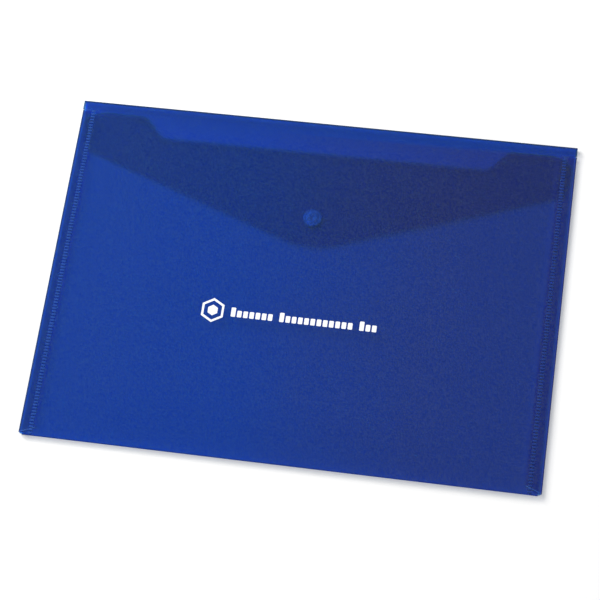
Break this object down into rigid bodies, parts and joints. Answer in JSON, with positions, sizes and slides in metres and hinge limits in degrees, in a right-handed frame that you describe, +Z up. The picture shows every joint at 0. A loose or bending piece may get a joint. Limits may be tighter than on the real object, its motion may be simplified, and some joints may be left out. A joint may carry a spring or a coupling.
{
  "type": "document envelope",
  "caption": "Flat poly envelope with turned and welded sides, a wide cut-out at the pocket's mouth, and a V flap that hinges on its top fold and closes with a round snap.",
  "frame": {"origin": "middle of the closed envelope's footprint, on the surface that it lies on", "axes": "+Z up, out of the plain back face; +Y towards the top fold, where the flap hinges; +X to the right of the back face"},
  "size_m": [0.33, 0.235, 0.0067],
  "materials": {
    "film": "translucent satin polypropylene film, fine grain on its outer face",
    "weld": "fused film, pressed into short smooth bars",
    "snap": "moulded, smooth",
    "imprint": "screen-printed white ink on the back panel, in the visual model only"
  },
  "bodies": {
    "envelope": {"back_panel": "film", "front_panel": "film", "bottom_fold": "film", "top_fold": "film", "left_side_fold": "film", "right_side_fold": "film", "left_side_wing": "film", "right_side_wing": "film", "left_weld_seam": "weld", "right_weld_seam": "weld", "front_snap_stud": "snap", "front_snap_cap": "snap"},
    "flap": {"closure_flap": "film", "flap_snap_cap": "snap", "flap_snap_socket": "snap"}
  },
  "joints": [
    {"name": "flap_hinge", "type": "hinge", "parent": "envelope", "child": "flap", "pos_m": [0, 0.11595, 0.00265], "axis": [1, 0, 0], "range_deg": [0, 178.5], "deforming": ["top_fold"]}
  ]
}
